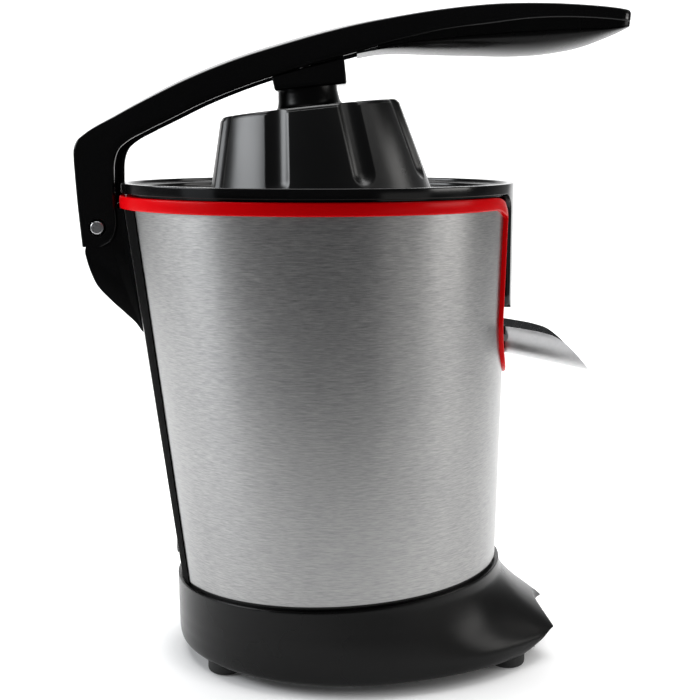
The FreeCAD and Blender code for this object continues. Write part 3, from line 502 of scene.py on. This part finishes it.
rib = 0.5 * (1 + np.cos(16 * (ang - centres[0])))
for (r, z) in inner:
    amp = 1.6 if -H + 3 < z < -10 else 0.0
    rows.append([((r - amp * rib[j] ** 6) * math.cos(ang[j]), (r - amp * rib[j] ** 6) * math.sin(ang[j]), z) for j in range(segs)])
top_rows = [[(r * math.cos(a), r * math.sin(a), 0.0) for a in ang] for r in (16.8, 24, 32)]
rows = top_rows + rows
verts = [lean(p) for r in rows for p in r]
faces = strip_faces(len(rows), segs)
faces.append(tuple(range(segs)))
faces.append(tuple((len(rows) - 1) * segs + j for j in range(segs)))
finish_mesh("fluted_dome", verts, faces, DOME, "press_arm", ["press_dome"], 40)
stem = [(17.6, -0.3), (16.6, 0.15), (15.3, 0.9), (14.5, 2.2), (14.05, 4.2), (13.8, 6.4), (13.6, 8.4), (13.6, 10.5), (3, 10.5), (3, -0.3)]
sc = catmull(stem[:8], 4)
lathe("dome_stem", [tuple(p) for p in sc] + stem[8:], BASE, "press_arm", 120, [], place=lean)

# ------------------------------------------------------------------ hinge bracket
bo = catmull([(-106.6, 192.6), (-107.3, 190.0), (-106.6, 185.8), (-104.9, 180.2), (-102.2, 174.2), (-96.3, 167.5), (-88.1, 159.9), (-84.2, 156.0), (-81.9, 152.6)], 6)
z_in = np.linspace(151.9, 209.5, 12)
back = [(body_cr(z)[0] - math.sqrt((body_cr(z)[1] + 0.06) ** 2 - 12.0 ** 2), z) for z in z_in]
arc = [(PIN[0] + 8.4 * math.cos(a), PIN[1] + 8.4 * math.sin(a)) for a in np.linspace(math.radians(52), math.radians(215), 26)]
prism_mesh("bracket_skin", [tuple(p) for p in bo] + back + [(-91.7, 209.6), (-91.7, 211.9), (-95.4, 211.9)] + arc, -12.0, 12.0, MAT["black_gloss"], "housing", 1.1, ["hinge_bracket"],
           cuts=[raw_ycyl(2.45, -20, 20, PIN[0], PIN[1])])

# ------------------------------------------------------------------ base skirt
OUT = [(0, 103.4), (8, 103.2), (13, 102.3), (18, 99.2), (23, 95.6), (30, 91.6), (37, 88.6), (48, 84.4), (60, 81.0), (72, 79.4), (85, 79.0), (120, 79.0), (180, 79.0)]
oc = catmull(OUT, 10)
ks = [(6.0, 1.0), (12.0, 0.985), (16.0, 0.82), (20.0, 0.63), (25.0, 0.40), (29.0, 0.25), (34.0, 0.10), (38.0, 0.02), (44.0, 0.0)]
kc = catmull(ks, 8)
rt = catmull([(6.0, 78.6), (9.0, 79.3), (14.0, 79.6), (22.0, 79.2), (30.0, 78.4), (38.0, 77.7), (46.0, 77.2)], 8)
cxs = [(6, 12.0), (14, 12.0), (20, 11.6), (29, 10.6), (38, 9.6), (46, 9.2)]
segs = 720
angd = np.linspace(-180, 180, segs, endpoint=False)
angr = np.radians(angd)
ro = np.interp(np.abs(angd), oc[:, 0], oc[:, 1])
GX, GR = 143.2, 38.6


def skirt(zv, cx, off):
    """radius all round at height zv (array), cut by the glass recess"""
    k = np.interp(zv, kc[:, 0], kc[:, 1])
    r = np.interp(zv, rt[:, 0], rt[:, 1]) + k * (ro - 79.0) + off
    d = GX - cx
    s2 = (GR - off) ** 2 - (d * np.sin(angr)) ** 2
    ok = (s2 > 0) & (np.cos(angr) > 0)
    cut = np.where(ok, d * np.cos(angr) - np.sqrt(np.maximum(s2, 0)), 1e3)
    return np.where(ok, smin(r, cut, 0.35), r)


def seam_z(x):
    return 35.6 + 0.047 * (x + 66.5)


def ring_at(level, off, dz=0.0):
    """level 0 at the bottom edge, 1 at the slanted joint"""
    pts = []
    x_guess = 12 + 80 * np.cos(angr)
    ztop = seam_z(x_guess) + 0.8
    lift = np.clip((28.0 - np.abs(angd)) / 14.0, 0, 1)
    zbot = 6.0 + 6.5 * lift * lift * (3 - 2 * lift)
    for _ in range(3):
        z = zbot + level * (ztop - zbot)
        cx = np.interp(z, [c[0] for c in cxs], [c[1] for c in cxs])
        r = np.empty(segs)
        rr = skirt(z, cx, off)
        x_guess = cx + rr * np.cos(angr)
        ztop = seam_z(x_guess) + 0.8
    return [M(x_guess[j], rr[j] * math.sin(angr[j]), z[j] + dz) for j in range(segs)]


rows = []
for off, lev, dz in [(-2.6, 0.2, 0), (-2.6, 0.05, 0), (-2.6, 0.0, 0.6), (-2.2, 0.0, 0.1), (-1.4, 0.0, 0.0), (-0.7, 0.0, 0.15), (-0.2, 0.0, 0.6)]:
    rows.append(ring_at(lev, off, dz))
for lev in np.linspace(0.045, 0.985, 46):
    rows.append(ring_at(lev, 0.0))
for off, dz in [(-0.04, -0.1), (-0.16, 0.14), (-0.4, 0.26), (-1.2, 0.28), (-3.2, 0.2), (-3.4, -0.6)]:
    rows.append(ring_at(1.0, off, dz - 0.3))
rows.append(ring_at(0.86, -3.4))
rows.append(ring_at(0.6, -2.7))
rows.append(ring_at(0.4, -2.6))
finish_mesh("base_skirt", [v for r in rows for v in r], strip_faces(len(rows), segs, True, True), BASE, "housing", ["base_shell"], 34)

# ------------------------------------------------------------------ red trim: one closed strip, ring and U
ZR, RHOY, RHOZ = 212.85, 15.0, 6.2
LEG = 27.6
UB = 161.7


def on_body(y, z, off):
    c, r = body_cr(min(z, 213.5))
    r += off
    return c + math.sqrt(max(0.0, r * r - y * y))


def ring_pt(a, off):
    c, r = body_cr(ZR)
    return np.array([c + (r + off) * math.cos(a), (r + off) * math.sin(a), ZR])


path = []     # points with outward direction and half height
y_c = LEG + RHOY
c, r = body_cr(ZR)
a_c = math.asin(y_c / r)
for a in np.linspace(a_c, 2 * math.pi - a_c, 260):
    path.append(("r", a, None, 2.85))
for t in np.linspace(0, math.pi / 2, 14)[1:]:
    y = -(LEG + RHOY) + RHOY * math.sin(t)
    z = ZR - RHOZ + RHOZ * math.cos(t)
    path.append(("l", y, z, 2.85 - 0.75 * t / (math.pi / 2), 0.9 * math.sin(2 * t) ** 2))
for z in np.linspace(ZR - RHOZ, UB, 40)[1:]:
    path.append(("l", -LEG, z, 2.1))
for t in np.linspace(0, math.pi, 60)[1:]:
    path.append(("l", -LEG * math.cos(t), UB - LEG * math.sin(t), 2.1))
for z in np.linspace(UB, ZR - RHOZ, 40)[1:]:
    path.append(("l", LEG, z, 2.1))
for t in np.linspace(0, math.pi / 2, 14)[1:-1]:
    y = LEG + RHOY - RHOY * math.cos(t)
    z = ZR - RHOZ + RHOZ * math.sin(t)
    path.append(("l", y, z, 2.1 + 0.75 * t / (math.pi / 2), 0.9 * math.sin(2 * t) ** 2))


def trim_pt(e, off):
    if e[0] == "r":
        return ring_pt(e[1], off)
    return np.array([on_body(e[1], e[2], off), e[1], e[2]])


P0 = [trim_pt(e, 0.0) for e in path]
P1 = [trim_pt(e, 1.0) for e in path]
rows = []
n = len(path)
for i in range(n):
    tan = P0[(i + 1) % n] - P0[i - 1]
    tan /= np.linalg.norm(tan)
    nor = P1[i] - P0[i]
    nor -= tan * nor.dot(tan)
    nor /= np.linalg.norm(nor)
    side = np.cross(tan, nor)
    hw = path[i][3]
    rnd = 0.75
    hi, lo = 1.45, -1.9
    sec = [(-hw, lo), (-hw, hi - rnd)]
    sec += [(-hw + rnd - rnd * math.cos(t), hi - rnd + rnd * math.sin(t)) for t in np.linspace(0.2, math.pi / 2, 6)]
    sec += [(s, hi + 0.14 * (1 - (s / (hw - rnd)) ** 2)) for s in np.linspace(-(hw - rnd), hw - rnd, 7)[1:-1]]
    sec += [(hw - rnd + rnd * math.sin(t), hi - rnd + rnd * math.cos(t)) for t in np.linspace(0, math.pi / 2 - 0.2, 6)]
    sec += [(hw, hi - rnd), (hw, lo)]
    fil = path[i][4] if len(path[i]) > 4 else 0.0     # wider fillet on the inside of the corner
    rows.append([M(*(P0[i] + side * (a + fil * (a > 0) * min(1.0, a / (hw - rnd))) + nor * b)) for a, b in sec])
cols = len(rows[0])
finish_mesh("trim_strip", [v for r in rows for v in r], strip_faces(n, cols, True, True), MAT["red_gloss"], "housing", ["red_trim"], 40)

# ------------------------------------------------------------------ seam strips at the rear edges of the wrap
def sector_pt(deg, z, off, side):
    c, r = body_cr(z)
    a = math.radians(deg)
    d = (9.0 - c) * math.cos(a) + math.sqrt((r + off) ** 2 - ((9.0 - c) * math.sin(a)) ** 2)
    return M(9.0 - d * math.cos(a), side * d * math.sin(a), z)


for side, tag, reps in ((-1, "a", ["seam_strips"]), (1, "b", [])):
    rows = []
    for z in np.linspace(36.9, 210.0, 60):
        rows.append([sector_pt(g, z, 0.5, side) for g in np.linspace(16.6, 25.35, 9)] + [sector_pt(g, z, -0.3, side) for g in np.linspace(25.35, 16.6, 9)])
    cols = len(rows[0])
    faces = strip_faces(len(rows), cols)
    for e in (0, (len(rows) - 1) * cols):
        for j in range(cols // 2 - 1):
            faces.append((e + j, e + j + 1, e + cols - 2 - j, e + cols - 1 - j))
    finish_mesh("seam_strip_" + tag, [v for r in rows for v in r], faces, SEAM, "housing", reps, 30)

# ------------------------------------------------------------------ juice bowl
prof = [(12.0, 143.5), (74.2, 143.5), (83.6, 214.0), (83.6, 215.8), (88.2, 215.8), (88.2, 216.9), (90.8, 216.9),
        (90.8, 221.3), (87.6, 221.3), (87.2, 219.8), (85.3, 219.0), (84.9, 217.5), (83.1, 217.2), (82.6, 215.2), (81.2, 214.8), (80.6, 212.0),
        (77.2, 189.0), (75.6, 188.2), (72.0, 146.4), (13.5, 147.5), (11.2, 186.5), (8.9, 186.5), (8.9, 143.5)]
rad = [0.5, 6, 0.3, 0.3, 0.2, 0.3, 0.25, 0.55, 0.5, 0.4, 0.4, 0.4, 0.4, 0.4, 0.4, 0.5, 0.5, 0.5, 5, 3, 0.6, 0.6, 0.4]
lathe("bowl", round_profile(prof, rad, 5), MAT["black_gloss"], "housing", 360, ["juice_bowl"], 34)

# apron under the rim, in the front cut-out
HW, ZLOW, RR = 24.9, 164.6, 7.0


def apron_hw(z):
    if z > 216.4 - 7.4:
        t = min(1.0, (z - (216.4 - 7.4)) / 7.4)
        return HW + 7.4 * (1 - math.sqrt(max(0.0, 1 - t * t)))
    if z < ZLOW + RR:
        t = (ZLOW + RR - z) / RR
        return HW - RR + RR * math.sqrt(max(0.0, 1 - t * t))
    return HW


zs = list(ZLOW + RR - RR * np.cos(np.linspace(0.0, 1, 22) * math.pi / 2)) + list(np.linspace(ZLOW + RR, 209.0, 30))[1:] + list(209.3 + 7.1 * np.sin(np.linspace(0, 1, 14) * math.pi / 2)) + [217.4, 218.4]
front, nc = [], 61
for z in zs:
    hw = apron_hw(z)
    row = []
    for j in range(nc):
        s = math.sin((j / (nc - 1) * 2 - 1) * math.pi / 2)
        y = s * hw
        e = min(hw - abs(y), (z - ZLOW) if abs(y) < HW - RR else hw - abs(y))
        drop = 0.0
        if e < 1.6 and z < 214:
            drop = 1.6 - math.sqrt(max(0.0, 1.6**2 - (1.6 - e) ** 2))
        X = math.sqrt(90.79**2 - y * y) - drop
        row.append(M(X, y, z))
    front.append(row)
back_rows = [[(p[0] - 0.0026, p[1], p[2]) for p in r] for r in front]
verts = [v for r in front for v in r] + [v for r in back_rows for v in r]
off = len(front) * nc
f1 = strip_faces(len(front), nc, False, False)
faces = f1 + [tuple(reversed([i + off for i in f])) for f in f1]
R = len(front)
for i in range(R - 1):
    faces.append((i * nc, (i + 1) * nc, (i + 1) * nc + off, i * nc + off))
    a = i * nc + nc - 1
    faces.append((a, a + off, a + nc + off, a + nc))
for j in range(nc - 1):
    faces.append((j, j + off, j + 1 + off, j + 1))
    a = (R - 1) * nc + j
    faces.append((a, a + 1, a + 1 + off, a + off))
finish_mesh("bowl_apron", verts, faces, MAT["black_gloss"], "housing", [], 40)
prism_mesh("bowl_outlet_floor", [(68, 142.5), (82.4, 142.5), (82.4, 144.6), (68, 144.6)], -14.4, 14.4, MAT["black_gloss"], "housing", 0.4, [])
for s in (-1, 1):
    prism_mesh("bowl_outlet_wall_%s" % ("a" if s < 0 else "b"), [(70, 143.5), (82.4, 143.5), (82.4, 155.6), (71.5, 155.6)], 12.4 if s > 0 else -14.4, 14.4 if s > 0 else -12.4,
               MAT["black_gloss"], "housing", 0.4, [])

# ------------------------------------------------------------------ spout
def trimmed(node, body, tools):
    """a welded copy of one node's own mesh with its unseen corners cut back"""
    me = nodes[node].data.copy()
    bm = bmesh.new()
    bm.from_mesh(me)
    bmesh.ops.remove_doubles(bm, verts=bm.verts, dist=2e-6)
    bm.to_mesh(me)
    bm.free()
    ob = bpy.data.objects.new(node + "_skin", me)
    bpy.context.scene.collection.objects.link(ob)
    for t in tools:
        md = ob.modifiers.new("cut", "BOOLEAN")
        md.object = t
        md.solver = "EXACT"
    bake(ob)
    for t in tools:
        bpy.data.objects.remove(t)
    ob.data.polygons.foreach_set("use_smooth", [True] * len(ob.data.polygons))
    ob.data.set_sharp_from_angle(angle=math.radians(30))
    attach(ob, body)
    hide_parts(node)
    return ob


trimmed("spout_carrier", "housing", [raw_box(86.3, 95.0, -30, 30, 130, 170)])
trimmed("bottom_plate", "housing", [raw_box(101.5, 125.0, -60, 60, 0, 20)])
# the return spring, which shortens as the spindle is pressed: here a welded copy with its own mesh, its vertex heights
# read
coil = trimmed("return_spring", "housing", [])
zz = [(coil.matrix_world @ v.co).z for v in coil.data.vertices]
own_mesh(coil)
SL = math.tan(math.radians(12.0))
SIDE = catmull([(82.7, 155.7), (87.2, 155.3), (96.0, 154.0), (104.0, 152.4), (110.5, 150.2), (116.0, 146.2), (121.8, 140.2), (128.4, 132.7)], 8)


def spout_row(x, inset, npt=33):
    top = float(np.interp(x, SIDE[:, 0], SIDE[:, 1]))
    inset = min(inset, max(0.1, 0.35 * (top - 141.2 + (x - 87.0) * SL)))
    bot = 141.2 - (x - 87.0) * SL + inset
    hw, he = 17.2 - inset, 16.5 - inset
    am = math.acos(1 - max(top - bot, 0.15) / he)
    pts = [(hw * math.sin(am * k / (npt - 1)), bot + he * (1 - math.cos(am * k / (npt - 1)))) for k in range(npt)]
    return [(-y, z) for y, z in reversed(pts[1:])] + pts


xs = list(np.linspace(82.7, 104, 30)) + list(np.linspace(104.5, 127.8, 46))
rows = []
for x in xs:
    o, i_ = spout_row(x, 0.0), spout_row(x, 0.9)
    rows.append([M(x, y, z) for y, z in o] + [M(x, y, z) for y, z in reversed(i_)])
cols = len(rows[0])
faces = strip_faces(len(rows), cols)
half = cols // 2
for e in (0, (len(rows) - 1) * cols):
    for j in range(half - 1):
        faces.append((e + j, e + j + 1, e + cols - 2 - j, e + cols - 1 - j))
sp = finish_mesh("spout_trough", [v for r in rows for v in r], faces, SPOUT_OUT, "spout_body", ["spout"], 40)
# faces turned into the trough take the darker copy, painted shade
sp.data.materials.append(SPOUT_IN_SHADE)
for f in sp.data.polygons:
    if f.normal.y * -f.center.y + f.normal.z * (0.160 - f.center.z) > 0:
        f.material_index = 1

# ------------------------------------------------------------------ reamer
segs = 480
ang = np.linspace(0, 2 * math.pi, segs, endpoint=False)
base_p = catmull([(30.0, 195.0), (30.4, 197.0), (29.6, 201.0), (26.6, 207.4), (20.8, 217.0), (13.2, 226.6), (6.4, 232.4), (2.4, 235.2), (0.3, 236.1)], 8)
lobe = np.abs(np.cos(5 * ang)) ** 9
lobe2 = np.abs(np.cos(5 * ang + math.pi / 2)) ** 9
rows = []
for r, z in [(29.0, 191.6), (34.6, 191.6), (35.7, 192.2), (36.0, 193.2), (35.7, 194.3), (34.4, 194.9), (32.0, 195.0)]:
    rows.append([(r * math.cos(a), r * math.sin(a), z) for a in ang])
for i, (r, z) in enumerate(base_p):
    k = min(1.0, (z - 195.0) / 3.0) * min(1.0, max(0.0, (236.0 - z) / 6.0))
    k2 = k * max(0.0, min(1.0, (222.0 - z) / 8.0))
    rr = r + k * 3.0 * lobe + k2 * 2.4 * lobe2 - k * 0.8
    rows.append([(rr[j] * math.cos(ang[j]), rr[j] * math.sin(ang[j]), z) for j in range(segs)])
faces = strip_faces(len(rows), segs) + [tuple(range(segs)), tuple((len(rows) - 1) * segs + j for j in range(segs))]
finish_mesh("reamer", [M(*p) for r in rows for p in r], faces, DOME, "spindle", ["reamer_cone"], 50)

# ------------------------------------------------------------------ floor, camera, light
def smooth(nt, src, a, b, lo, hi):
    m = N(nt, "ShaderNodeMapRange", interpolation_type="SMOOTHSTEP")
    nt.links.new(src, m.inputs["Value"])
    for k, x in (("From Min", a), ("From Max", b), ("To Min", lo), ("To Max", hi)):
        m.inputs[k].default_value = x
    return m.outputs["Result"]


def sweep():
    me = bpy.data.meshes.new("floor")
    prof = [(y, 0.0) for y in np.linspace(-2.0, 0.9, 14)]
    prof += [(0.9 + 0.7 * math.sin(t), 0.7 - 0.7 * math.cos(t)) for t in np.linspace(0.1, math.pi / 2, 16)] + [(1.6, 2.4)]
    verts, faces = [], []
    for y, z in prof:
        verts += [(-3.2, y, z), (3.2, y, z)]
    for i in range(len(prof) - 1):
        faces.append((2 * i, 2 * i + 1, 2 * i + 3, 2 * i + 2))
    me.from_pydata(verts, [], faces)
    me.polygons.foreach_set("use_smooth", [True] * len(me.polygons))
    ob = bpy.data.objects.new("floor", me)
    bpy.context.scene.collection.objects.link(ob)
    m, nt, b = new_mat("floor_paper")
    v = coords(nt, (1, 1, 1))
    xyz = N(nt, "ShaderNodeSeparateXYZ")
    nt.links.new(v, xyz.inputs[0])
    ax = N(nt, "ShaderNodeMath", operation="ABSOLUTE")
    nt.links.new(xyz.outputs["X"], ax.inputs[0])
    # the pale paper runs out into a dark studio floor in front and at the sides
    fy = smooth(nt, xyz.outputs["Y"], -0.42, -0.25, 0.0, 1.0)
    fx = smooth(nt, ax.outputs[0], 0.72, 1.05, 1.0, 0.25)
    pale = N(nt, "ShaderNodeMath", operation="MULTIPLY")
    nt.links.new(fy, pale.inputs[0])
    nt.links.new(fx, pale.inputs[1])
    nt.links.new(colour(nt, pale.outputs[0], (0.13, 0.13, 0.132), (0.88, 0.88, 0.88), 0.0, 1.0), b.inputs["Base Color"])
    # painted contact shadow: in a soft ellipse under the base the floor's glow drops to 6%, deepening the shadow the
    # lamps cast
    near = N(nt, "ShaderNodeVectorMath", operation="LENGTH")
    nt.links.new(coords(nt, (10.0, 12.2, 0.0)), near.inputs[0])
    painted_shadow = smooth(nt, near.outputs["Value"], 0.80, 1.02, 0.06, 1.0)
    glow = N(nt, "ShaderNodeMath", operation="MULTIPLY")
    nt.links.new(pale.outputs[0], glow.inputs[0])
    nt.links.new(painted_shadow, glow.inputs[1])
    nt.links.new(colour(nt, glow.outputs[0], (0.0, 0.0, 0.0), (1.0, 1.0, 1.0), 0.0, 1.0), b.inputs["Emission Color"])
    b.inputs["Roughness"].default_value = 0.85
    b.inputs["Specular IOR Level"].default_value = 0.1
    b.inputs["Emission Strength"].default_value = 0.36
    me.materials.append(m)


sweep()
cam = bpy.data.cameras.new("camera")
cam.lens = 36.0 * 1350.0 / 700.0
cam.sensor_width = 36.0
cam.clip_start = 0.01
co = bpy.data.objects.new("camera", cam)
co.location = (0.0005, -0.634, 0.24135)
co.rotation_euler = (math.radians(90 - 8.92), 0, 0)
bpy.context.scene.collection.objects.link(co)
bpy.context.scene.camera = co


def area(name, loc, target, sx, sy, power, col=(1, 1, 1)):
    l = bpy.data.lights.new(name, "AREA")
    l.shape = "RECTANGLE"
    l.size, l.size_y = sx, sy
    l.energy = power
    l.color = col
    o = bpy.data.objects.new(name, l)
    o.location = loc
    d = Vector(target) - Vector(loc)
    o.rotation_euler = d.to_track_quat("-Z", "Y").to_euler()
    bpy.context.scene.collection.objects.link(o)
    return o


area("left_key", (-0.95, -0.12, 0.55), (0, 0, 0.22), 0.70, 0.34, 7.0, (0.95, 0.975, 1.0))
area("left_panel", (-1.0, -0.42, 0.16), (0, 0, 0.14), 0.40, 0.4, 0.35, (0.90, 0.95, 1.0))
area("right_key", (1.0, 0.12, 0.66), (0.03, 0, 0.18), 0.40, 0.26, 1.0, (1.0, 0.985, 0.96))
area("right_strip", (1.0, -0.20, 0.29), (0.06, -0.055, 0.02), 0.50, 0.12, 1.5, (1.0, 0.985, 0.96))
area("right_fill", (0.72, -0.62, 0.06), (0, 0, 0.14), 0.50, 0.30, 0.30, (1.0, 0.985, 0.95))
area("right_top", (0.72, -0.30, 0.92), (0.05, 0, 0.05), 0.45, 0.45, 0.8, (1.0, 0.99, 0.97))
area("top_box", (0.0, 0.22, 1.25), (0, 0.02, 0.1), 1.5, 0.8, 17)
area("back_wash", (0.0, 0.55, 1.3), (0, 1.5, 0.6), 1.8, 0.5, 14)
w = bpy.data.worlds.new("studio")
bpy.context.scene.world = w
w.use_nodes = True
w.node_tree.nodes["Background"].inputs["Color"].default_value = (0.9, 0.92, 0.95, 1)
w.node_tree.nodes["Background"].inputs["Strength"].default_value = 0.10
bpy.context.scene.view_settings.view_transform = "Standard"
